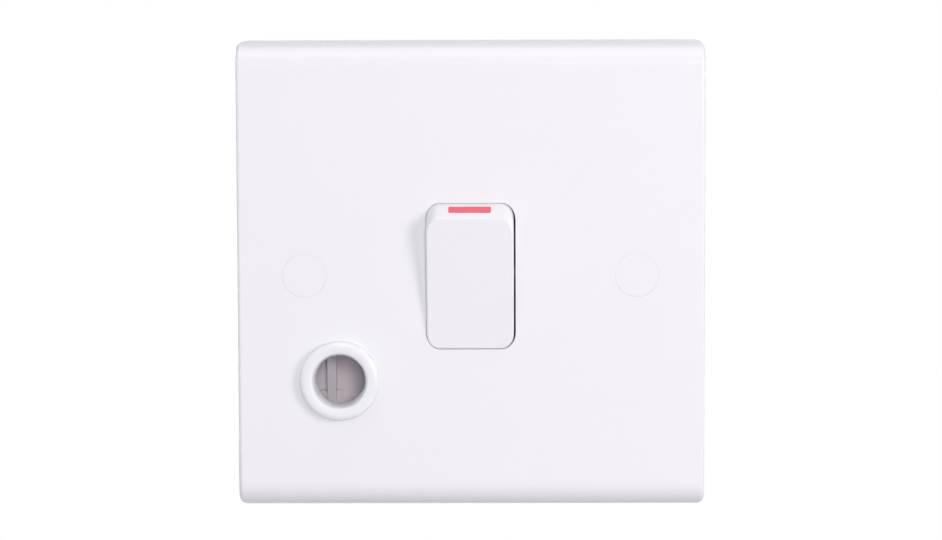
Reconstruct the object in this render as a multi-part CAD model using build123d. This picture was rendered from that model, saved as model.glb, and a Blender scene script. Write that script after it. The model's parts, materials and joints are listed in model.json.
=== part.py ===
from build123d import *
from math import cos, radians, sin, sqrt
import os

# A square wall switch that breaks both poles, with a cord outlet in its front.
# Sizes in millimetres. X runs to the right as seen from the front, Y runs into the wall
# and Z runs up. The origin lies midway between the two fixing holes, on the wall.
# The rocker is modelled pressed at the bottom, which is on.

# Front plate
PLATE = 85.0
PLATE_DEPTH = 9.0
SKIN = 2.2
RIM = 2.0
CORNER_R = 2.0
ROLL_R = 4.5
SIDE_EDGE_R = 0.8
RIB = 1.0
RIB_DEPTH = 1.5
RIB_INSET_X = 5.5
RIB_INSET_Z = 9.5
WEB_END_Y = -0.5
FRONT_Y = -PLATE_DEPTH
SKIN_Y = FRONT_Y + SKIN

# Fixing holes and their covers
FIX_SPACING = 60.3
FIX_HOLE_R = 2.1
BOSS_R = 5.4
RECESS_FLOOR_Y = -4.2
CAP_R = 4.0
CAP_GAP = 0.01
CAP_TOP = 1.1
CAP_WALL = 0.5
CAP_EDGE = 0.06

# Rocker and its aperture, whose middle lies a little below the fixing holes.
# The rocker's side play has carried it to the left.
APERTURE_W = 16.3
APERTURE_H = 26.66
APERTURE_R = 2.6
AXIS_Z = -0.23
ROCKER_GAP = 0.2
SIDE_PLAY = 0.13
PIVOT_DEPTH = 7.8
TILT = 7.5
FACE_T = 1.6
WALL_T = 1.4
FACE_EDGE_R = 0.45
INNER_R = 1.0
ROCKER_RIB = 1.2
ROCKER_RIB_END_Y = -1.0
SKIRT_BACK = 3.0
TRUNNION_R = 1.5
TRUNNION_OUT = 9.6
RUN_GAP = 0.05
CHEEK_HALF = 4.2
CHEEK_R = 2.7
EAR_T = 1.8
EAR_HALF = 3.6
EAR_END_Y = 1.2
COLLAR_Y = -4.2
COLLAR_WALL = 1.2
PIVOT_Y = FRONT_Y + PIVOT_DEPTH
ROCKER_HALF_W = APERTURE_W / 2 - ROCKER_GAP
EDGE_Z = APERTURE_H / 2 - ROCKER_GAP
ROCKER_R = sqrt(PIVOT_DEPTH**2 + EDGE_Z**2)
FACE_D = PIVOT_DEPTH * cos(radians(TILT)) + EDGE_Z * sin(radians(TILT))
HOLE_R = sqrt(PIVOT_DEPTH**2 + (APERTURE_H / 2) ** 2)

# Red flash in the rocker's top end
FLASH_W = 7.75
FLASH_H = 1.75
FLASH_R = 0.35
FLASH_T = 0.6
FLASH_ANGLE = 60.5

# Plungers, springs and contact arms
POLE_X = 3.8
SOCKET_R = 2.55
SOCKET_BORE_R = 1.75
SOCKET_END = 5.5
PLUNGER_R = 1.65
PLUNGER_REACH = 14.0
PLUNGER_TAIL = 0.5
PLUNGER_GAP = 0.17
SPIGOT_R = 0.7
SPIGOT = 2.0
SPRING_R = 1.25
WIRE_R = 0.22
SPRING_TURNS = 5
ARM_W = 4.4
ARM_T = 0.9
ARM_BEND = 6.75
ARM_UP = 14.0
ARM_DOWN = 8.0
ARM_ROLL_R = 0.5
SADDLE_TOP = 1.8
SADDLE_FOOT = 2.6
SEAT_GAP = 0.04
GUIDE_GAP = 0.15
GUIDE_T = 0.6
GUIDE_HALF = 1.6
TIP_R = 1.7
TIP_T = 0.9
TIP_Z = 12.3
TIP_GAP = 0.02
STRIP_T = 0.8
STRIP_MARGIN = 0.6
STRIP_END = 2.2
ARM_Y = PIVOT_Y + PLUNGER_REACH * cos(radians(TILT)) + PLUNGER_GAP + ARM_T
STRIP_Y = ARM_Y + 2 * TIP_T + TIP_GAP
BACK_Y = STRIP_Y + STRIP_T

# Terminals
TERMINAL_X = 7.2
TERMINAL_W = 8.0
TERMINAL_H = 7.4
TERMINAL_D = 8.5
TERMINAL_Z = 22.65
WIRE_HOLE_R = 1.95
WIRE_DEPTH = 4.4
SCREW_R = 1.6
SCREW_HOLE_R = 1.68
SCREW_HEAD_R = 2.7
SCREW_HEAD_H = 1.8
SCREW_RAISED = 1.3
SCREW_TIP = 0.3
HEAD_CHAMFER = 0.4
SLOT_W = 0.8
SLOT_DEPTH = 0.9
BRASS_EDGE_R = 0.5
EARTH_X = 24.0
EARTH_W = 11.6
EARTH_PITCH = 5.4
EARTH_Y = 14.5
TERMINAL_NEAR = TERMINAL_Z - TERMINAL_H / 2
TERMINAL_FAR = TERMINAL_Z + TERMINAL_H / 2

# Rear housing
BASE_Y0 = -1.0
BASE_Y1 = 2.0
BASE_TOP_HALF = 23.2
HOUSING_R = 1.5
BACK_T = 1.8
BACK_CHAMFER = 0.7
SIDE_WALL = 1.8
POCKET_WALL = 2.0
END_WALL = 1.45
CHAMBER_HALF_W = 10.2
CHAMBER_HALF_H = 17.3
BARRIER_HALF = 0.6
BARRIER_Y = 5.5
PAD_HALF = 1.45
PAD_GAP = 0.15
POCKET_GAP = 0.2
STRIP_GAP = 0.1
WINDOW_R = 2.5
EARTH_WALL = 1.4
EARTH_TOP_WALL = 2.2
EARTH_RIM = 1.5
EARTH_R = 1.0
CORE_HALF_W = CHAMBER_HALF_W + SIDE_WALL
CORE_HALF_H = CHAMBER_HALF_H + SIDE_WALL
TERMINAL_BLOCK_HALF = TERMINAL_X + TERMINAL_W / 2 + POCKET_GAP + POCKET_WALL
POCKET_Z0 = TERMINAL_NEAR - POCKET_GAP
POCKET_Z1 = TERMINAL_FAR + POCKET_GAP
HOUSING_Z = POCKET_Z1 + END_WALL
HOUSING_Y = BACK_Y + BACK_T

# Cord outlet, cord chamber and cord clamp
OUTLET_X = -23.9
OUTLET_Z = -19.25
BUSH_BORE_R = 4.55
BUSH_MOUTH_R = 4.9
BUSH_THROAT = 1.5
BUSH_OUT_R = 6.1
BUSH_FLANGE_R = 7.25
BUSH_RAISED = 1.5
BUSH_EDGE_R = 0.9
BUSH_MOUTH_EDGE_R = 0.45
BUSH_END_Y = -5.4
BUSH_LIP = 0.4
BUSH_LIP_DEPTH = 1.15
CHAMBER_HALF = 6.7
CHAMBER_WALL = 1.4
CHAMBER_Z0 = -26.4
CHAMBER_Z1 = -12.6
CHAMBER_Y = 9.0
CHAMBER_BACK_T = 1.6
CORD_RIB_X = -26.27
CORD_RIB_W = 1.68
CORD_RIB_RAISED = 2.6
CORD_GROOVE_W = 0.55
CORD_GROOVE_DEPTH = 0.7
CORD_STEP_X = -24.15
CORD_STEP_TOP = -17.6
CORD_STEP_RAISED = 0.5
CORD_LEDGE_TOP = -23.2
CORD_LEDGE_RAISED = 0.9
CORD_SILL_TOP = -24.4
CORD_SILL_RAISED = 2.2
CORD_SILL_X = -22.6
CLAMP_Z = -8.7
CLAMP_PITCH = 12.2
CLAMP_W = 4.6
CLAMP_T = 2.2
CLAMP_Y = 8.4
CLAMP_TRAVEL = 2.0
CLAMP_OVERHANG = 2.4
CLAMP_BAR_R = 1.2
CLAMP_TOOTH = 0.4
CLAMP_TOOTH_W = 0.6
CLAMP_TOOTH_PITCH = 1.4
CLAMP_TOOTH_HALF = 3.6
POST_R = 2.1
POST_Y = 6.2
POST_EDGE = 0.4
CLAMP_SCREW_R = 1.25
CLAMP_HEAD_R = 2.2
CLAMP_HEAD_H = 1.5
CLAMP_FLOOR = 0.4
CLAMP_TIP_GAP = 0.4
CLAMP_HOLE_Y = BASE_Y0 + CLAMP_FLOOR
CLAMP_SCREW_END = CLAMP_HOLE_Y + CLAMP_TRAVEL + CLAMP_TIP_GAP
WING_HALF = CLAMP_PITCH / 2 + CLAMP_OVERHANG - OUTLET_X
WING_Z = CLAMP_Z + POST_R + POST_EDGE

# Housing screws
PILLAR_R = 2.7
PILLAR_HOLE_R = 1.25
PILLAR_X = 19.8
PILLAR_ZS = (21.0, -1.0)
PILLAR_FLOOR = 0.4
HOUSING_SCREW_R = 1.2
HOUSING_SCREW_L = 7.6
HOUSING_HOLE_R = 1.5
HOUSING_HEAD_R = 2.6
HOUSING_HEAD_H = 1.6
CROSS_REACH = 0.55
CROSS_HALF = 0.3


def block(x0, x1, y0, y1, z0, z1):
    return Pos((x0 + x1) / 2, (y0 + y1) / 2, (z0 + z1) / 2) * Box(x1 - x0, y1 - y0, z1 - z0)


def rod_y(x, z, r, y0, y1):
    return Pos(x, (y0 + y1) / 2, z) * Rot(90, 0, 0) * Cylinder(r, y1 - y0)


def rod_x(y, z, r, x0, x1):
    return Pos((x0 + x1) / 2, y, z) * Rot(0, 90, 0) * Cylinder(r, x1 - x0)


def rod_z(x, y, r, z0, z1):
    return Pos(x, y, (z0 + z1) / 2) * Cylinder(r, z1 - z0)


def slab(x0, x1, y0, y1, z0, z1, r):
    """A block whose four edges along Y are rounded."""
    front = Plane(((x0 + x1) / 2, y1, (z0 + z1) / 2), x_dir=(1, 0, 0), z_dir=(0, -1, 0))
    return extrude(front * RectangleRounded(x1 - x0, z1 - z0, r), amount=y1 - y0)


def prism_x(points, x0, x1):
    """A straight prism along X with corners given as (y, z)."""
    side = Plane((x0, 0, 0), x_dir=(0, 1, 0), z_dir=(1, 0, 0))
    return extrude(side * make_face(Polyline(*points, close=True)), amount=x1 - x0)


def turned_y(points, x, z):
    """A body turned about a line along Y, its outline given as (radius, y)."""
    half = Plane((x, 0, z), x_dir=(1, 0, 0), z_dir=(0, 0, 1))
    return revolve(half * make_face(Polyline(*points, close=True)), Axis((x, 0, z), (0, 1, 0)))


def edges_at(shape, axis, place, tolerance=0.01):
    """The edges that lie wholly in one plane across an axis."""
    return shape.edges().filter_by_position(axis, place - tolerance, place + tolerance)


def sector(half_w, radius, corner_r, y_front, y_back):
    """A slice of a wheel about the rocker's pivot, with rounded rims."""
    wheel = Rot(90, 0, 0) * rod_x(0, 0, radius, -half_w, half_w)
    wheel = fillet(wheel.edges().filter_by(GeomType.CIRCLE), corner_r)
    wide, tall = 2 * half_w, 2 * radius
    return wheel & block(-wide, wide, y_front, y_back, -tall, tall)


def tilted(shape):
    """Places a piece made about the pivot in its on position."""
    return Pos(-SIDE_PLAY, PIVOT_Y, AXIS_Z) * Rot(TILT, 0, 0) * shape


def plate_shell():
    half = PLATE / 2
    outer = block(-half, half, FRONT_Y, 0, -half, half)
    rolls = edges_at(outer, Axis.Y, FRONT_Y).filter_by(Axis.X)
    outer = fillet(rolls, ROLL_R)
    for side in (-half, half):
        rim = [edge for edge in edges_at(outer, Axis.X, side) if edge.center().Y < -0.01]
        outer = fillet(rim, SIDE_EDGE_R)
    outer &= slab(-half, half, FRONT_Y, 0, -half, half, CORNER_R)
    inner_half = half - RIM
    inner = block(-inner_half, inner_half, SKIN_Y, 0, -inner_half, inner_half)
    inner = fillet(edges_at(inner, Axis.Y, SKIN_Y).filter_by(Axis.X), ROLL_R - RIM)
    return outer - inner


def plate_ribs():
    """A frame of low ribs inside the plate and a web from each screw boss to the rim."""
    inner = PLATE / 2 - RIM
    deep = SKIN_Y + RIB_DEPTH
    rib_x = PLATE / 2 - RIB_INSET_X
    rib_z = PLATE / 2 - RIB_INSET_Z
    ribs = []
    for side in (-1, 1):
        z = side * rib_z
        ribs.append(block(-inner, inner, SKIN_Y, deep, z - RIB / 2, z + RIB / 2))
        x = side * rib_x
        ribs.append(block(x - RIB / 2, x + RIB / 2, SKIN_Y, deep, -rib_z, rib_z))
        boss_wall = FIX_SPACING / 2 + (CAP_R + BOSS_R) / 2
        near, far = sorted((side * boss_wall, side * inner))
        ribs.append(block(near, far, SKIN_Y, WEB_END_Y, -RIB / 2, RIB / 2))
    return ribs


def rocker_bearing():
    """The collar behind the aperture and the two ears that hold the trunnions."""
    inner = APERTURE_W / 2
    outer = inner + EAR_T
    reach = HOLE_R + COLLAR_WALL
    parts = [block(-outer, outer, SKIN_Y, COLLAR_Y, AXIS_Z - reach, AXIS_Z + reach)]
    for side in (-1, 1):
        near, far = sorted((side * inner, side * outer))
        parts.append(
            block(near, far, SKIN_Y, EAR_END_Y, AXIS_Z - EAR_HALF, AXIS_Z + EAR_HALF)
        )
    return parts


def front_plate():
    plate = plate_shell()
    for rib in plate_ribs() + rocker_bearing():
        plate += rib
    for side in (-1, 1):
        x = side * FIX_SPACING / 2
        plate += rod_y(x, 0, BOSS_R, SKIN_Y, 0)
        plate -= rod_y(x, 0, CAP_R + CAP_GAP, FRONT_Y, RECESS_FLOOR_Y)
        plate -= rod_y(x, 0, FIX_HOLE_R, FRONT_Y, 0)
        for z in PILLAR_ZS:
            plate += rod_y(side * PILLAR_X, z, PILLAR_R, SKIN_Y, BASE_Y0)
            hole_floor = SKIN_Y + PILLAR_FLOOR
            plate -= rod_y(side * PILLAR_X, z, PILLAR_HOLE_R, hole_floor, BASE_Y0)
    opening = sector(APERTURE_W / 2, HOLE_R, APERTURE_R, -2 * HOLE_R, 0)
    plate -= Pos(0, PIVOT_Y, AXIS_Z) * opening
    slot = TRUNNION_R + RUN_GAP
    reach = APERTURE_W / 2 + EAR_T
    plate -= block(-reach, reach, PIVOT_Y, EAR_END_Y, AXIS_Z - slot, AXIS_Z + slot)
    plate -= rod_x(PIVOT_Y, AXIS_Z, slot, -reach, reach)
    plate -= rod_y(OUTLET_X, OUTLET_Z, BUSH_OUT_R + RUN_GAP, FRONT_Y, SKIN_Y)
    return plate


def screw_cap(x):
    top = FRONT_Y + CAP_TOP
    inner = CAP_R - CAP_WALL
    outline = [
        (0, FRONT_Y),
        (CAP_R - CAP_EDGE, FRONT_Y),
        (CAP_R, FRONT_Y + CAP_EDGE),
        (CAP_R, RECESS_FLOOR_Y),
        (inner, RECESS_FLOOR_Y),
        (inner, top),
        (0, top),
    ]
    return turned_y(outline, x, 0)


def flash_block():
    """A rounded bar let into the rocker's end wall, square to it and standing proud."""
    angle = radians(FLASH_ANGLE)
    out = (0, -cos(angle), sin(angle))
    base = ROCKER_R - FLASH_T
    start = Plane((0, base * out[1], base * out[2]), x_dir=(1, 0, 0), z_dir=out)
    return extrude(start * RectangleRounded(FLASH_W, FLASH_H, FLASH_R), amount=2 * FLASH_T)


def indicator_flash():
    return flash_block() & rod_x(0, 0, ROCKER_R, -FLASH_W, FLASH_W)


def rocker():
    half = ROCKER_HALF_W
    body = sector(half, ROCKER_R, APERTURE_R - ROCKER_GAP, -FACE_D, -SKIRT_BACK)
    body = fillet(edges_at(body, Axis.Y, -FACE_D), FACE_EDGE_R)
    face_back = -FACE_D + FACE_T
    body -= sector(half - WALL_T, ROCKER_R - WALL_T, INNER_R, face_back, 0)
    for side in (-1, 1):
        near, far = sorted((side * (half - WALL_T), side * half))
        body += block(near, far, -2 * SKIRT_BACK, 0, -CHEEK_HALF, CHEEK_HALF)
        body += rod_x(0, 0, CHEEK_R, near, far)
        near, far = sorted((side * half, side * TRUNNION_OUT))
        body += rod_x(0, 0, TRUNNION_R, near, far)
        body += rod_y(side * POLE_X, 0, SOCKET_R, face_back, SOCKET_END)
    inside = half - WALL_T
    rib_half = ROCKER_RIB / 2
    body += block(-inside, inside, face_back, ROCKER_RIB_END_Y, -rib_half, rib_half)
    for side in (-1, 1):
        body -= rod_y(side * POLE_X, 0, SOCKET_BORE_R, face_back, SOCKET_END)
    return body - flash_block()


def plunger(x):
    tip_y = PLUNGER_REACH - PLUNGER_R
    body = rod_y(x, 0, PLUNGER_R, PLUNGER_TAIL, tip_y)
    body += Pos(x, tip_y, 0) * Sphere(PLUNGER_R)
    return body + rod_y(x, 0, SPIGOT_R, PLUNGER_TAIL - SPIGOT, PLUNGER_TAIL)


def plunger_spring(x):
    """A coil of wire whose section has eight equal sides."""
    low = -FACE_D + FACE_T + WIRE_R
    high = PLUNGER_TAIL - WIRE_R
    height = high - low
    coil = Helix(height / SPRING_TURNS, height, SPRING_R)
    section = Rectangle(2 * WIRE_R, 2 * WIRE_R)
    section = chamfer(section.vertices(), WIRE_R * (2 - sqrt(2)))
    spring = sweep(Plane(coil @ 0, z_dir=coil % 0) * section, path=coil)
    return Pos(x, low, 0) * Rot(-90, 0, 0) * spring


def contact_arm(x):
    """A bar with a shallow bend whose round back rocks in the load strip's saddle."""
    bend = radians(ARM_BEND)
    out_y, out_z = -cos(bend), sin(bend)
    up = (-ARM_UP * sin(bend), ARM_UP * cos(bend))
    down = (-ARM_DOWN * sin(bend), -ARM_DOWN * cos(bend))
    outline = [
        (0, 0),
        up,
        (up[0] + ARM_T * out_y, up[1] - ARM_T * out_z),
        (-ARM_T / cos(bend), 0),
        (down[0] + ARM_T * out_y, down[1] + ARM_T * out_z),
        down,
    ]
    arm = prism_x(outline, x - ARM_W / 2, x + ARM_W / 2)
    arm += rod_x(0, 0, ARM_ROLL_R, x - ARM_W / 2, x + ARM_W / 2)
    return Pos(0, ARM_Y, AXIS_Z) * Rot(-ARM_BEND, 0, 0) * arm


def tunnel(x_middle, width, back_y, end, wire_xs):
    """A brass block with wire holes along Z and screw holes from the back."""
    z0, z1 = sorted((end * TERMINAL_NEAR, end * TERMINAL_FAR))
    x0, x1 = x_middle - width / 2, x_middle + width / 2
    body = block(x0, x1, back_y - TERMINAL_D, back_y, z0, z1)
    body = fillet(body.edges().filter_by(Axis.Z), BRASS_EDGE_R)
    for x in wire_xs:
        body -= rod_z(x, back_y - WIRE_DEPTH, WIRE_HOLE_R, z0, z1)
        body -= rod_y(x, end * TERMINAL_Z, SCREW_HOLE_R, back_y - WIRE_DEPTH, back_y)
    return body


def pole_strip(side, end, inner_z):
    """The flat strip from a terminal to its contact or saddle, ending at inner_z."""
    near, far = sorted((side * (POLE_X - ARM_W / 2), side * (POLE_X + ARM_W / 2)))
    z0, z1 = sorted((inner_z, end * TERMINAL_NEAR))
    return block(near, far, STRIP_Y, BACK_Y, z0, z1)


def supply_terminal(side):
    x = side * TERMINAL_X
    strip_end = AXIS_Z + TIP_Z - TIP_R - STRIP_MARGIN
    return tunnel(x, TERMINAL_W, BACK_Y, 1, [x]) + pole_strip(side, 1, strip_end)


def saddle(middle):
    """The block with a round trough in which the contact arm's back rocks."""
    top = ARM_Y + SEAT_GAP
    half = ARM_W / 2
    outline = [
        (top, AXIS_Z - SADDLE_TOP / 2),
        (top, AXIS_Z + SADDLE_TOP / 2),
        (STRIP_Y, AXIS_Z + SADDLE_FOOT / 2),
        (STRIP_Y, AXIS_Z - SADDLE_FOOT / 2),
    ]
    body = prism_x(outline, middle - half, middle + half)
    return body - rod_x(ARM_Y, AXIS_Z, ARM_ROLL_R + SEAT_GAP, middle - half, middle + half)


def load_terminal(side):
    x = side * TERMINAL_X
    body = tunnel(x, TERMINAL_W, BACK_Y, -1, [x]) + pole_strip(side, -1, AXIS_Z + STRIP_END)
    middle = side * POLE_X
    body += saddle(middle)
    z0, z1 = AXIS_Z - GUIDE_HALF, AXIS_Z + GUIDE_HALF
    for edge in (-1, 1):
        near = middle + edge * (ARM_W / 2 + GUIDE_GAP)
        far = near + edge * GUIDE_T
        low, high = sorted((near, far))
        body += block(low, high, ARM_Y - ARM_T, BACK_Y, z0, z1)
        low, high = sorted((middle, far))
        body += block(low, high, STRIP_Y, BACK_Y, z0, z1)
    return body


def earth_terminal():
    holes = [EARTH_X - EARTH_PITCH / 2, EARTH_X + EARTH_PITCH / 2]
    return tunnel(EARTH_X, EARTH_W, EARTH_Y, -1, holes)


def screw_head(x, z, r, under, top):
    """A round head with a bevelled rim."""
    head = rod_y(x, z, r, under, top)
    return chamfer(edges_at(head, Axis.Y, top), HEAD_CHAMFER)


def terminal_screw(x, z, back_y):
    under = back_y + SCREW_RAISED
    top = under + SCREW_HEAD_H
    r = SCREW_HEAD_R
    body = rod_y(x, z, SCREW_R, back_y - WIRE_DEPTH + WIRE_HOLE_R + SCREW_TIP, under)
    body += screw_head(x, z, r, under, top)
    slot_floor = top - SLOT_DEPTH
    return body - block(x - r, x + r, slot_floor, top, z - SLOT_W / 2, z + SLOT_W / 2)


def terminal_screws():
    places = [
        (side * TERMINAL_X, end * TERMINAL_Z, BACK_Y) for side in (-1, 1) for end in (-1, 1)
    ]
    places += [(EARTH_X + side * EARTH_PITCH / 2, -TERMINAL_Z, EARTH_Y) for side in (-1, 1)]
    return [terminal_screw(*place) for place in places]


def housing_outline():
    """The base with its wings, the tall block and the core that reaches the plate's skin."""
    half = BASE_TOP_HALF
    base = slab(-half, half, BASE_Y0, BASE_Y1, -HOUSING_Z, HOUSING_Z, HOUSING_R)
    base += slab(-WING_HALF, WING_HALF, BASE_Y0, BASE_Y1, -HOUSING_Z, WING_Z, HOUSING_R)
    half = CORE_HALF_W
    base += slab(-half, half, SKIN_Y, BASE_Y1, -CORE_HALF_H, CORE_HALF_H, HOUSING_R)
    half = TERMINAL_BLOCK_HALF
    tall = slab(-half, half, BASE_Y0, HOUSING_Y, -HOUSING_Z, HOUSING_Z, HOUSING_R)
    return base + chamfer(edges_at(tall, Axis.Y, HOUSING_Y), BACK_CHAMFER)


def terminal_pocket(x0, x1, end, floor_y, wire_xs, back_y):
    """Cuts the pocket for a terminal, open at the back, and its wire windows."""
    z0, z1 = sorted((end * POCKET_Z0, end * POCKET_Z1))
    cut = [block(x0, x1, floor_y, 2 * HOUSING_Y, z0, z1)]
    z0, z1 = sorted((end * TERMINAL_FAR, 2 * end * HOUSING_Z))
    cut += [rod_z(x, back_y - WIRE_DEPTH, WINDOW_R, z0, z1) for x in wire_xs]
    return cut


def pole_pockets():
    """Cuts the four pole pockets and the slots that lead their strips to the chamber."""
    cuts = []
    reach = TERMINAL_W / 2 + POCKET_GAP
    strip_half = ARM_W / 2 + STRIP_GAP
    floor_y = BACK_Y - TERMINAL_D
    for side in (-1, 1):
        middle = side * TERMINAL_X
        near, far = sorted((side * (POLE_X - strip_half), side * (POLE_X + strip_half)))
        for end in (-1, 1):
            cuts += terminal_pocket(middle - reach, middle + reach, end, floor_y, [middle], BACK_Y)
            z0, z1 = sorted((0, end * TERMINAL_Z))
            cuts.append(block(near, far, STRIP_Y - STRIP_GAP, BACK_Y, z0, z1))
    return cuts


def contact_chamber():
    """Cuts the space for the rocker and arms, leaving the barrier and the two pads."""
    half_w, half_h = CHAMBER_HALF_W, CHAMBER_HALF_H
    room = block(-half_w, half_w, SKIN_Y, BACK_Y, -half_h, half_h)
    room -= block(-BARRIER_HALF, BARRIER_HALF, BARRIER_Y, BACK_Y, -half_h, half_h)
    pad_y = PIVOT_Y + TRUNNION_R + RUN_GAP
    for side in (-1, 1):
        near, far = sorted((side * (APERTURE_W / 2 + PAD_GAP), side * half_w))
        room -= block(near, far, pad_y, BACK_Y, AXIS_Z - PAD_HALF, AXIS_Z + PAD_HALF)
    return room


def cord_chamber():
    x0 = OUTLET_X - CHAMBER_HALF - CHAMBER_WALL
    x1 = OUTLET_X + CHAMBER_HALF + CHAMBER_WALL
    back = CHAMBER_Y + CHAMBER_BACK_T
    body = block(x0, x1, SKIN_Y, back, -HOUSING_Z, CHAMBER_Z1 + CHAMBER_WALL)
    return chamfer(edges_at(body, Axis.Y, back), BACK_CHAMFER)


def cord_chamber_room():
    """Cuts the space behind the outlet, leaving the rib, step, ledge and sill on its back."""
    x0, x1 = OUTLET_X - CHAMBER_HALF, OUTLET_X + CHAMBER_HALF
    room = block(x0, x1, SKIN_Y, CHAMBER_Y, CHAMBER_Z0, CHAMBER_Z1)
    room += block(x0, x1, BASE_Y1, CHAMBER_Y, CHAMBER_Z0, CHAMBER_Z1 + CHAMBER_WALL)
    rib_x0, rib_x1 = CORD_RIB_X - CORD_RIB_W / 2, CORD_RIB_X + CORD_RIB_W / 2
    front = CHAMBER_Y - CORD_RIB_RAISED
    room -= block(rib_x0, rib_x1, front, CHAMBER_Y, CHAMBER_Z0, CHAMBER_Z1)
    front = CHAMBER_Y - CORD_STEP_RAISED
    room -= block(CORD_STEP_X, x1, front, CHAMBER_Y, CHAMBER_Z0, CORD_STEP_TOP)
    front = CHAMBER_Y - CORD_LEDGE_RAISED
    room -= block(x0, CORD_STEP_X, front, CHAMBER_Y, CHAMBER_Z0, CORD_LEDGE_TOP)
    front = CHAMBER_Y - CORD_SILL_RAISED
    room -= block(CORD_SILL_X, x1, front, CHAMBER_Y, CHAMBER_Z0, CORD_SILL_TOP)
    deep = CHAMBER_Y + CORD_GROOVE_DEPTH
    room += block(x0, rib_x0, CHAMBER_Y, deep, CORD_LEDGE_TOP, CHAMBER_Z1)
    return room + block(
        rib_x1, rib_x1 + CORD_GROOVE_W, CHAMBER_Y, deep, CORD_LEDGE_TOP, CHAMBER_Z1
    )


def earth_block():
    reach = EARTH_W / 2 + POCKET_GAP + EARTH_WALL
    back = EARTH_Y + EARTH_RIM
    top = EARTH_TOP_WALL - POCKET_Z0
    return slab(EARTH_X - reach, EARTH_X + reach, BASE_Y0, back, -HOUSING_Z, top, EARTH_R)


def earth_pocket():
    holes = [EARTH_X - EARTH_PITCH / 2, EARTH_X + EARTH_PITCH / 2]
    reach = EARTH_W / 2 + POCKET_GAP
    floor_y = EARTH_Y - TERMINAL_D
    return terminal_pocket(EARTH_X - reach, EARTH_X + reach, -1, floor_y, holes, EARTH_Y)


def rear_housing():
    body = housing_outline() + cord_chamber() + earth_block()
    for side in (-1, 1):
        body += rod_y(OUTLET_X + side * CLAMP_PITCH / 2, CLAMP_Z, POST_R, BASE_Y1, POST_Y)
    body -= contact_chamber()
    for cut in pole_pockets() + earth_pocket():
        body -= cut
    body -= cord_chamber_room()
    for side in (-1, 1):
        x = OUTLET_X + side * CLAMP_PITCH / 2
        body -= rod_y(x, CLAMP_Z, CLAMP_SCREW_R + RUN_GAP, CLAMP_HOLE_Y, POST_Y)
        for z in PILLAR_ZS:
            body -= rod_y(side * PILLAR_X, z, HOUSING_HOLE_R, BASE_Y0, BASE_Y1)
    return body


def outlet_bush():
    front = FRONT_Y - BUSH_RAISED
    lip_y = SKIN_Y + RUN_GAP
    outline = [
        (BUSH_MOUTH_R, front),
        (BUSH_FLANGE_R, front),
        (BUSH_FLANGE_R, FRONT_Y),
        (BUSH_OUT_R, FRONT_Y),
        (BUSH_OUT_R, lip_y),
        (BUSH_OUT_R + BUSH_LIP, lip_y),
        (BUSH_OUT_R, lip_y + BUSH_LIP_DEPTH),
        (BUSH_OUT_R, BUSH_END_Y),
        (BUSH_BORE_R, BUSH_END_Y),
        (BUSH_BORE_R, BUSH_END_Y - BUSH_THROAT),
    ]
    bush = turned_y(outline, OUTLET_X, OUTLET_Z)
    rims = sorted(edges_at(bush, Axis.Y, front), key=lambda edge: edge.radius)
    bush = fillet([rims[-1]], BUSH_EDGE_R)
    rims = sorted(edges_at(bush, Axis.Y, front), key=lambda edge: edge.radius)
    return fillet([rims[0]], BUSH_MOUTH_EDGE_R)


def cord_clamp_bar():
    reach = CLAMP_PITCH / 2 + CLAMP_OVERHANG
    back = CLAMP_Y + CLAMP_T
    z0, z1 = CLAMP_Z - CLAMP_W / 2, CLAMP_Z + CLAMP_W / 2
    bar = slab(OUTLET_X - reach, OUTLET_X + reach, CLAMP_Y, back, z0, z1, CLAMP_BAR_R)
    for side in (-1, 1):
        x = OUTLET_X + side * CLAMP_PITCH / 2
        bar -= rod_y(x, CLAMP_Z, CLAMP_SCREW_R + RUN_GAP, CLAMP_Y, back)
    x0, x1 = OUTLET_X - CLAMP_TOOTH_HALF, OUTLET_X + CLAMP_TOOTH_HALF
    for step in (-1, 0, 1):
        z0 = CLAMP_Z + step * CLAMP_TOOTH_PITCH - CLAMP_TOOTH_W / 2
        bar += block(x0, x1, CLAMP_Y - CLAMP_TOOTH, CLAMP_Y, z0, z0 + CLAMP_TOOTH_W)
    return bar


def cross_screw(x, z, r, end, under, head_r, head_h):
    """A screw with a cross recess, its tip at end and its head seated at under."""
    top = under + head_h
    body = screw_head(x, z, head_r, under, top) + rod_y(x, z, r, end, under)
    arm = head_r * CROSS_REACH
    for half_x, half_z in ((arm, CROSS_HALF), (CROSS_HALF, arm)):
        body -= block(x - half_x, x + half_x, top - SLOT_DEPTH, top, z - half_z, z + half_z)
    return body


def cord_clamp_screws():
    under = CLAMP_Y + CLAMP_T
    screws = []
    for side in (-1, 1):
        x = OUTLET_X + side * CLAMP_PITCH / 2
        screws.append(
            cross_screw(x, CLAMP_Z, CLAMP_SCREW_R, CLAMP_SCREW_END, under, CLAMP_HEAD_R, CLAMP_HEAD_H)
        )
    return screws


def housing_screws():
    end = BASE_Y1 - HOUSING_SCREW_L
    screws = []
    for side in (-1, 1):
        x = side * PILLAR_X
        for z in PILLAR_ZS:
            screws.append(
                cross_screw(x, z, HOUSING_SCREW_R, end, BASE_Y1, HOUSING_HEAD_R, HOUSING_HEAD_H)
            )
    return screws


def save(name, shape):
    if isinstance(shape, list):
        shape = Compound(children=shape)
    export_step(shape, f"parts/{name}.step")


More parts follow.
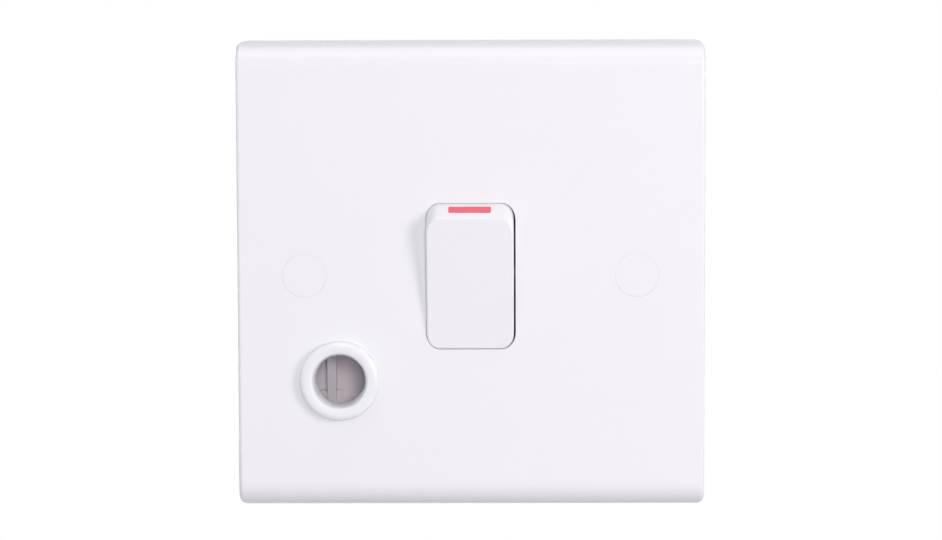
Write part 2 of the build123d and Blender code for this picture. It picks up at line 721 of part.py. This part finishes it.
os.makedirs("parts", exist_ok=True)
save("front_plate", front_plate())
save("outlet_bush", outlet_bush())
save("rear_housing", rear_housing())
save("rocker", tilted(rocker()))
save("indicator_flash", tilted(indicator_flash()))
save("earth_terminal", earth_terminal())
save("terminal_screws", terminal_screws())
save("cord_clamp_bar", cord_clamp_bar())
save("cord_clamp_screws", cord_clamp_screws())
save("housing_screws", housing_screws())
save("screw_cap_left", screw_cap(-FIX_SPACING / 2))
save("screw_cap_right", screw_cap(FIX_SPACING / 2))
for pole, side in (("neutral", -1), ("live", 1)):
    middle = side * POLE_X
    tip_z = AXIS_Z + TIP_Z
    moving_y = ARM_Y + TIP_T
    fixed_y = moving_y + TIP_GAP
    save(f"plunger_{pole}", tilted(plunger(middle)))
    save(f"plunger_spring_{pole}", tilted(plunger_spring(middle)))
    save(f"contact_arm_{pole}", contact_arm(middle))
    save(f"moving_contact_{pole}", rod_y(middle, tip_z, TIP_R, ARM_Y, moving_y))
    save(f"fixed_contact_{pole}", rod_y(middle, tip_z, TIP_R, fixed_y, STRIP_Y))
    save(f"supply_terminal_{pole}", supply_terminal(side))
    save(f"load_terminal_{pole}", load_terminal(side))
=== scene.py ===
import json
import math

import bmesh
import bpy
from mathutils import Matrix, Vector

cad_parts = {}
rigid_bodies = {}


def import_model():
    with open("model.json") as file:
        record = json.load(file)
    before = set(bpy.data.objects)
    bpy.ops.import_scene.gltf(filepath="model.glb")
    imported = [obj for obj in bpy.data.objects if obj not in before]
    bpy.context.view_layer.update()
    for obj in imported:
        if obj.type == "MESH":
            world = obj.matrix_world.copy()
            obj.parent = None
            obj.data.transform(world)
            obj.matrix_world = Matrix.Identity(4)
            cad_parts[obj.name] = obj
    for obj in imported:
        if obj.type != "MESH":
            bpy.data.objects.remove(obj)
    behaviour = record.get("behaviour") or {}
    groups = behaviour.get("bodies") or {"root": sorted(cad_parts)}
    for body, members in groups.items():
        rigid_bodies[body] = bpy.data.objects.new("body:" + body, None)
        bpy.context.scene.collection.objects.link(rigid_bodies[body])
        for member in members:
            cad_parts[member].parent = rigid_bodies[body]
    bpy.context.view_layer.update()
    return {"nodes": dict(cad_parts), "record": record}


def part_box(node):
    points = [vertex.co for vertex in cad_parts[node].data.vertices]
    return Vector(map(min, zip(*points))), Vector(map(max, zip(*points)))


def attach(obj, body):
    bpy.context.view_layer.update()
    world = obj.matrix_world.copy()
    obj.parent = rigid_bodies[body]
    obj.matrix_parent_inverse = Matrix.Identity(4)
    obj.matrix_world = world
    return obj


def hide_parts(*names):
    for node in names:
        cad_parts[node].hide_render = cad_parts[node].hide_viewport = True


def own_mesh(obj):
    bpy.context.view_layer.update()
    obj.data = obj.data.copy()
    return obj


# The camera, in metres, fitted to the plate's outline, the covers, the aperture and the outlet
CAMERA_AT = (0.00746, -0.5415, 0.0469)
CAMERA_AIM = (0.00006, -0.009, 0.00092)
CAMERA_ROLL = -0.0034
LENS = 112.65
SENSOR = 36.0
NEAREST = 0.01

# The flex outlet bush, in metres: its bore, the flare of its mouth and its snap-in neck
BUSH_BORE_R = 0.00455
BUSH_THROAT = 0.0015
BUSH_FLARE = 0.0007
BUSH_EDGE_R = 0.0009
BUSH_NECK_R = 0.0061
BUSH_LIP = 0.0004
BUSH_LIP_DEPTH = 0.00115
BUSH_LIP_GAP = 0.00005
BUSH_GLOW = 0.0025
GLOW_COLOURS = (1.0, 0.95, 1.0)
PLATE_SKIN = 0.0022
LATHE_STEPS = 160
ROUND_STEPS = 14
BUSH_SHARP = 35

# The plunger springs, in metres: their coil, wire, turns and length
COIL_R = 0.00125
WIRE_R = 0.00022
COIL_TURNS = 6.5
CLOSED_TURNS = 1.0
COIL_STEPS = 28
WIRE_STEPS = 10
COIL_LENGTH = 0.00835
COIL_GAP = 0.00002
COIL_SHARP = 50

# Light and backdrop, with each lamp's place, width in metres and power in watts
WORLD_LIGHT = 0.15
WORLD_COLOUR = (0.97, 0.96, 1.0)
FLOOR_Z = -0.16
FLOOR_GREY = 0.50
FLOOR_SIZE = 3.0
FLOOR_ROUGHNESS = 0.8
KEY = ((0.64, -0.50, 0.16), 0.34, 3.1, (1.0, 0.985, 0.985))
FILL = ((-0.66, -0.50, 0.12), 0.50, 1.1, (0.95, 0.965, 1.0))
FRONT = ((0.18, -1.60, 0.28), 0.40, 8.8, (1.0, 0.99, 1.0))
TOP = ((-0.10, -0.42, 0.88), 0.90, 2.7, (1.0, 0.99, 1.0))
BACK_KEY = ((0.35, 0.80, 0.55), 0.50, 3.8, (1.0, 0.99, 0.98))
BACK_FILL = ((-0.55, 0.70, 0.05), 0.60, 2.5, (0.96, 0.975, 1.0))

# Surfaces: waves a metre of the noises, and how far they carry the gloss either way
WHITE_PLASTIC = (0.84, 0.825, 0.87)
PLASTIC_IOR = 1.5
PLASTIC_CLOUDS = 60.0
PLASTIC_SHEEN = 140.0
PLASTIC_GLOSS_PLAY = 0.03
METAL_TARNISH = 700.0
METAL_SHEEN = 1500.0
METAL_GLOSS_DOWN = 0.08
METAL_GLOSS_UP = 0.10


def node_material(name):
    """A new material, its node tree and its principled shader."""
    made = bpy.data.materials.new(name)
    made.use_nodes = True
    shader = made.node_tree.nodes["Principled BSDF"]
    return made, made.node_tree, shader


def add(tree, kind, **inputs):
    """A node with its inputs set by name, spaces written as underscores."""
    node = tree.nodes.new(kind)
    for key, value in inputs.items():
        node.inputs[key.replace("_", " ")].default_value = value
    return node


def object_place(tree):
    """The place on the object, in metres."""
    return tree.nodes.new("ShaderNodeTexCoord").outputs["Object"]


def noise(tree, scale, detail=3.0):
    """A noise over the object's own place, scale in waves a metre."""
    node = add(tree, "ShaderNodeTexNoise", Scale=scale, Detail=detail)
    tree.links.new(object_place(tree), node.inputs["Vector"])
    return node.outputs["Fac"]


def spread(tree, source, low, high):
    """Maps a 0 to 1 value to a range."""
    node = tree.nodes.new("ShaderNodeMapRange")
    node.inputs["To Min"].default_value = low
    node.inputs["To Max"].default_value = high
    tree.links.new(source, node.inputs["Value"])
    return node.outputs["Result"]


def two_tone(tree, source, one, other):
    """A colour between two, led by a 0 to 1 value."""
    node = tree.nodes.new("ShaderNodeMix")
    node.data_type = "RGBA"
    node.inputs["A"].default_value = (*one, 1.0)
    node.inputs["B"].default_value = (*other, 1.0)
    tree.links.new(source, node.inputs["Factor"])
    return node.outputs["Result"]


def bump(tree, shader, source, distance):
    """Raises and lowers the look of the surface by a distance in metres."""
    node = add(tree, "ShaderNodeBump", Strength=1.0, Distance=distance)
    tree.links.new(source, node.inputs["Height"])
    tree.links.new(node.outputs["Normal"], shader.inputs["Normal"])


def plastic(name, colour, gloss, grain_scale, grain_depth, tone=0.015):
    """A moulded plastic with a faint cloudiness, uneven gloss and a fine grain."""
    made, tree, shader = node_material(name)
    darker = tuple(c * (1 - tone) for c in colour)
    tone_of = two_tone(tree, noise(tree, PLASTIC_CLOUDS), darker, colour)
    tree.links.new(tone_of, shader.inputs["Base Color"])
    low, high = gloss - PLASTIC_GLOSS_PLAY, gloss + PLASTIC_GLOSS_PLAY
    gloss_of = spread(tree, noise(tree, PLASTIC_SHEEN, 4.0), low, high)
    tree.links.new(gloss_of, shader.inputs["Roughness"])
    shader.inputs["IOR"].default_value = PLASTIC_IOR
    bump(tree, shader, noise(tree, grain_scale, 2.0), grain_depth)
    return made


def metal(name, colour, gloss, grain_scale, grain_depth, tone=0.12):
    """A worked metal with uneven tarnish, uneven gloss and fine tool marks."""
    made, tree, shader = node_material(name)
    dull = tuple(c * (1 - tone) for c in colour)
    tone_of = two_tone(tree, noise(tree, METAL_TARNISH, 5.0), dull, colour)
    tree.links.new(tone_of, shader.inputs["Base Color"])
    shader.inputs["Metallic"].default_value = 1.0
    low, high = gloss - METAL_GLOSS_DOWN, gloss + METAL_GLOSS_UP
    gloss_of = spread(tree, noise(tree, METAL_SHEEN, 4.0), low, high)
    tree.links.new(gloss_of, shader.inputs["Roughness"])
    bump(tree, shader, noise(tree, grain_scale, 3.0), grain_depth)
    return made


def let_light_through(material, reach):
    """Light spreads inside the moulding over this reach, in metres."""
    shader = material.node_tree.nodes["Principled BSDF"]
    shader.inputs["Subsurface Weight"].default_value = 1.0
    shader.inputs["Subsurface Radius"].default_value = GLOW_COLOURS
    shader.inputs["Subsurface Scale"].default_value = reach
    return material


def make_materials():
    """The materials, by the names of the record's slots."""
    white = WHITE_PLASTIC
    return {
        "plate_white": plastic("plate_white", white, 0.15, 2600.0, 0.000004),
        "rocker_white": plastic("rocker_white", white, 0.15, 2600.0, 0.000003),
        "cap_white": plastic("cap_white", white, 0.15, 2600.0, 0.000004),
        "bush_white": plastic("bush_white", (0.855, 0.848, 0.91), 0.16, 2600.0, 0.000003),
        "flash_red": plastic("flash_red", (0.82, 0.125, 0.175), 0.30, 3000.0, 0.000003, 0.05),
        "housing_plastic": plastic(
            "housing_plastic", (0.93, 0.87, 0.915), 0.48, 3500.0, 0.000012, 0.04
        ),
        "clamp_plastic": plastic(
            "clamp_plastic", (0.045, 0.045, 0.05), 0.42, 3500.0, 0.00001, 0.2
        ),
        "plunger_plastic": plastic(
            "plunger_plastic", (0.72, 0.68, 0.56), 0.38, 3500.0, 0.000006, 0.05
        ),
        "terminal_brass": metal("terminal_brass", (0.72, 0.50, 0.20), 0.30, 5000.0, 0.00001),
        "terminal_screw_brass": metal(
            "terminal_screw_brass", (0.66, 0.47, 0.22), 0.26, 5000.0, 0.000008
        ),
        "arm_copper": metal("arm_copper", (0.76, 0.42, 0.24), 0.28, 4000.0, 0.000006),
        "contact_silver": metal("contact_silver", (0.78, 0.78, 0.75), 0.30, 4000.0, 0.000006),
        "spring_steel": metal("spring_steel", (0.50, 0.50, 0.52), 0.30, 6000.0, 0.000004),
        "screw_steel": metal("screw_steel", (0.62, 0.61, 0.57), 0.27, 5000.0, 0.000008),
    }


def dress(frame, materials):
    """Gives each node the material of its slot."""
    slots = {item["node"]: item["material_slot"] for item in frame["record"]["subparts"]}
    for name, node in frame["nodes"].items():
        node.data.materials.clear()
        node.data.materials.append(materials[slots[name]])


def quarter_round(centre, reach_r, reach_y, start, end):
    """Points of a quarter of an ellipse in the plane of radius and y, its angles in quarter turns."""
    points = []
    for step in range(ROUND_STEPS + 1):
        angle = math.pi / 2 * (start + (end - start) * step / ROUND_STEPS)
        points.append((centre[0] + reach_r * math.cos(angle), centre[1] + reach_y * math.sin(angle)))
    return points


def new_piece(name, shape, sharp_angle):
    """An object from a finished shape, smooth but for the edges that turn by more than an angle."""
    bmesh.ops.recalc_face_normals(shape, faces=shape.faces)
    mesh = bpy.data.meshes.new(name)
    shape.to_mesh(mesh)
    shape.free()
    mesh.shade_smooth()
    mesh.set_sharp_from_angle(angle=math.radians(sharp_angle))
    piece = bpy.data.objects.new(name, mesh)
    bpy.context.scene.collection.objects.link(piece)
    return piece


def skin(shape, row, after):
    """Faces between two closed rows of points."""
    for i in range(len(row)):
        j = (i + 1) % len(row)
        shape.faces.new((row[i], row[j], after[j], after[i]))


def turned(name, outline, x, z):
    """A closed ring about an axis along y through x, z, from an outline of radii and y places."""
    shape = bmesh.new()
    rows = []
    for step in range(LATHE_STEPS):
        angle = 2 * math.pi * step / LATHE_STEPS
        c, s = math.cos(angle), math.sin(angle)
        rows.append([shape.verts.new((x + r * c, y, z + r * s)) for r, y in outline])
    for row, after in zip(rows, rows[1:] + rows[:1]):
        skin(shape, row, after)
    return new_piece(name, shape, BUSH_SHARP)


def coil_rise(turn):
    """How far the wire's middle has climbed after so many turns, the end turns lying closed."""
    closed = 2 * WIRE_R
    open_turns = COIL_TURNS - 2 * CLOSED_TURNS
    height = COIL_LENGTH - 2 * (COIL_GAP + WIRE_R)
    pitch = (height - 2 * CLOSED_TURNS * closed) / open_turns
    start = min(turn, CLOSED_TURNS)
    end = max(turn - CLOSED_TURNS - open_turns, 0.0)
    return (start + end) * closed + (turn - start - end) * pitch


def coil(name, seat, along):
    """A spring wound from its seat in a direction, as one wire with closed ends."""
    shape = bmesh.new()
    side = Vector((1, 0, 0))
    across = along.cross(side)
    angles = [2 * math.pi * i / WIRE_STEPS for i in range(WIRE_STEPS)]
    rows = []
    for step in range(round(COIL_TURNS * COIL_STEPS) + 1):
        turn = step / COIL_STEPS
        out = side * math.cos(2 * math.pi * turn) + across * math.sin(2 * math.pi * turn)
        middle = seat + out * COIL_R + along * (COIL_GAP + WIRE_R + coil_rise(turn))
        rows.append([
            shape.verts.new(middle + (out * math.cos(a) + along * math.sin(a)) * WIRE_R)
            for a in angles
        ])
    for row, after in zip(rows, rows[1:]):
        skin(shape, row, after)
    shape.faces.new(rows[0])
    shape.faces.new(rows[-1])
    return new_piece(name, shape, COIL_SHARP)


def make_coils(frame, materials):
    """The plunger springs, each wound as one wire in the place of its plain part and carried by its
    joint's parent.
    """
    for joint in frame["record"]["behaviour"]["joints"]:
        for spring in joint.get("deforming_nodes", []):
            node = spring["node"]
            low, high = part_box(node)
            seat = Vector(((low[0] + high[0]) / 2, *spring["fixed_end_m"][1:]))
            along = -Vector(joint["axis"])
            piece = coil(node.replace("plunger_spring", "coil"), seat, along)
            piece.data.materials.append(materials["spring_steel"])
            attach(piece, joint["parent"])
            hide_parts(node)
            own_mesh(piece)


def make_bush(materials):
    """The bush with the round flare of its mouth, in the place of the plain one."""
    low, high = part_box("outlet_bush")
    front, end = low[1], high[1]
    plate_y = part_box("front_plate")[0][1]
    flange_r = (high[0] - low[0]) / 2
    throat_y = end - BUSH_THROAT
    mouth = quarter_round(
        (BUSH_BORE_R + BUSH_FLARE, throat_y), BUSH_FLARE, front - throat_y, 2, 1
    )
    edge = quarter_round(
        (flange_r - BUSH_EDGE_R, front + BUSH_EDGE_R), BUSH_EDGE_R, -BUSH_EDGE_R, 1, 0
    )
    lip_y = plate_y + PLATE_SKIN + BUSH_LIP_GAP
    neck = [
        (flange_r, plate_y),
        (BUSH_NECK_R, plate_y),
        (BUSH_NECK_R, lip_y),
        (BUSH_NECK_R + BUSH_LIP, lip_y),
        (BUSH_NECK_R, lip_y + BUSH_LIP_DEPTH),
        (BUSH_NECK_R, end),
        (BUSH_BORE_R, end),
    ]
    centre_x, centre_z = (low[0] + high[0]) / 2, (low[2] + high[2]) / 2
    bush = turned("flex_outlet_bush", mouth + edge + neck, centre_x, centre_z)
    bush.data.materials.append(let_light_through(materials["bush_white"], BUSH_GLOW))
    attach(bush, "plate")
    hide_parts("outlet_bush")


def white_to_camera(tree, shader, output):
    """Shows pure white to the camera and to mirror and clear rays, and the shader to the rest."""
    path = tree.nodes.new("ShaderNodeLightPath")
    seen = path.outputs["Is Camera Ray"]
    for ray in ("Is Glossy Ray", "Is Transmission Ray"):
        either = tree.nodes.new("ShaderNodeMath")
        either.operation = "MAXIMUM"
        tree.links.new(seen, either.inputs[0])
        tree.links.new(path.outputs[ray], either.inputs[1])
        seen = either.outputs[0]
    in_world = output.bl_idname == "ShaderNodeOutputWorld"
    glow = add(tree, "ShaderNodeBackground" if in_world else "ShaderNodeEmission", Strength=1.0)
    glow.inputs["Color"].default_value = (1.0, 1.0, 1.0, 1.0)
    mix = tree.nodes.new("ShaderNodeMixShader")
    tree.links.new(seen, mix.inputs[0])
    tree.links.new(shader.outputs[0], mix.inputs[1])
    tree.links.new(glow.outputs[0], mix.inputs[2])
    tree.links.new(mix.outputs[0], output.inputs["Surface"])


def make_world():
    """Soft light from all sides, seen as white."""
    world = bpy.data.worlds.new("studio")
    bpy.context.scene.world = world
    world.use_nodes = True
    tree = world.node_tree
    soft = tree.nodes["Background"]
    soft.inputs["Color"].default_value = (*WORLD_COLOUR, 1.0)
    soft.inputs["Strength"].default_value = WORLD_LIGHT
    white_to_camera(tree, soft, tree.nodes["World Output"])


def make_floor():
    """A grey floor that throws light up at the object, seen as white."""
    bpy.ops.mesh.primitive_plane_add(size=FLOOR_SIZE, location=(0, 0, FLOOR_Z))
    floor = bpy.context.object
    floor.name = "studio_floor"
    made, tree, shader = node_material("studio_floor")
    shader.inputs["Base Color"].default_value = (FLOOR_GREY, FLOOR_GREY, FLOOR_GREY, 1.0)
    shader.inputs["Roughness"].default_value = FLOOR_ROUGHNESS
    white_to_camera(tree, shader, tree.nodes["Material Output"])
    floor.data.materials.append(made)


def soft_light(name, at, size, power, colour, mirrored=True):
    """A round lamp aimed at the object. One that isn't mirrored gives no highlight."""
    data = bpy.data.lights.new(name, "AREA")
    data.shape = "DISK"
    data.size = size
    data.energy = power
    data.color = colour
    light = bpy.data.objects.new(name, data)
    bpy.context.scene.collection.objects.link(light)
    light.location = at
    light.rotation_mode = "QUATERNION"
    light.rotation_quaternion = (-Vector(at)).to_track_quat("-Z", "Y")
    light.visible_glossy = mirrored


def make_lights():
    """Four lamps before the object and two behind it."""
    soft_light("key_right", *KEY)
    soft_light("fill_left", *FILL)
    soft_light("front", *FRONT, mirrored=False)
    soft_light("top", *TOP)
    soft_light("back_key", *BACK_KEY)
    soft_light("back_fill", *BACK_FILL)


def make_camera():
    """The camera, turned a little about its own line of sight."""
    at, aim = Vector(CAMERA_AT), Vector(CAMERA_AIM)
    ahead = (aim - at).normalized()
    right = ahead.cross(Vector((0, 0, 1))).normalized()
    up = right.cross(ahead)
    c, s = math.cos(CAMERA_ROLL), math.sin(CAMERA_ROLL)
    right, up = right * c + up * s, up * c - right * s
    data = bpy.data.cameras.new("camera")
    data.sensor_width = SENSOR
    data.lens = LENS
    data.clip_start = NEAREST
    camera = bpy.data.objects.new("camera", data)
    bpy.context.scene.collection.objects.link(camera)
    camera.matrix_world = Matrix((right, up, -ahead)).transposed().to_4x4()
    camera.location = at
    bpy.context.scene.camera = camera


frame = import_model()
materials = make_materials()
dress(frame, materials)
make_bush(materials)
make_coils(frame, materials)
make_world()
make_floor()
make_lights()
make_camera()
bpy.context.scene.view_settings.view_transform = "Standard"
